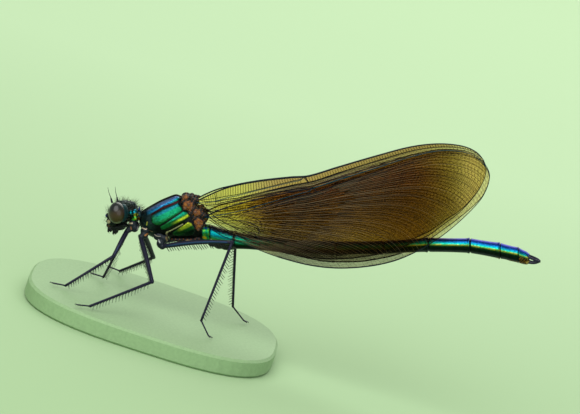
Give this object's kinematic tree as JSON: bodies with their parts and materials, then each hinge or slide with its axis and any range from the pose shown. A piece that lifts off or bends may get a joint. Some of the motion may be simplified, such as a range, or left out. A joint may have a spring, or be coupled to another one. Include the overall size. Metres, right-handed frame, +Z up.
{
  "type": "damselfly model",
  "caption": "Still life-size damselfly with brown wings closed over its back and a long metallic green abdomen, standing on a flat oval base.",
  "frame": {"origin": "centre of the whole model's box in plan, at the underside of the base", "axes": "+X from the head towards the tail, +Y to the insect's right, +Z up from the base"},
  "size_m": [0.0522, 0.026, 0.0297],
  "materials": {
    "body_green": "metallic green cuticle, glossy, blue and gold by the light",
    "body_blue": "metallic blue-green cuticle, glossy",
    "head_dark": "dark metallic green cuticle, fine hairs",
    "eye": "dark brown above, olive brown below, glossy",
    "black": "blue-black, satin",
    "wing": "clear brown membrane with dark veins",
    "stand": "pale satin acrylic"
  },
  "bodies": {
    "root": {"abdomen_1": "body_blue", "abdomen_10": "body_blue", "abdomen_2": "body_blue", "abdomen_3": "body_blue", "abdomen_4": "body_blue", "abdomen_5": "body_blue", "abdomen_6": "body_blue", "abdomen_7": "body_blue", "abdomen_8": "body_blue", "abdomen_9": "body_blue", "antenna_left": "black", "antenna_right": "black", "cercus_left": "black", "cercus_right": "black", "coxa_front_left": "black", "coxa_front_right": "black", "coxa_hind_left": "black", "coxa_hind_right": "black", "coxa_mid_left": "black", "coxa_mid_right": "black", "eye_left": "eye", "eye_right": "eye", "femur_front_left": "black", "femur_front_right": "black", "femur_hind_left": "black", "femur_hind_right": "black", "femur_mid_left": "black", "femur_mid_right": "black", "forewing_left": "wing", "forewing_right": "wing", "head": "head_dark", "hindwing_left": "wing", "hindwing_right": "wing", "mouthparts": "black", "paraproct_left": "black", "paraproct_right": "black", "prothorax": "body_green", "stand_base": "stand", "tarsus_front_left": "black", "tarsus_front_right": "black", "tarsus_hind_left": "black", "tarsus_hind_right": "black", "tarsus_mid_left": "black", "tarsus_mid_right": "black", "thorax": "body_green", "tibia_front_left": "black", "tibia_front_right": "black", "tibia_hind_left": "black", "tibia_hind_right": "black", "tibia_mid_left": "black", "tibia_mid_right": "black"}
  },
  "joints": []
}
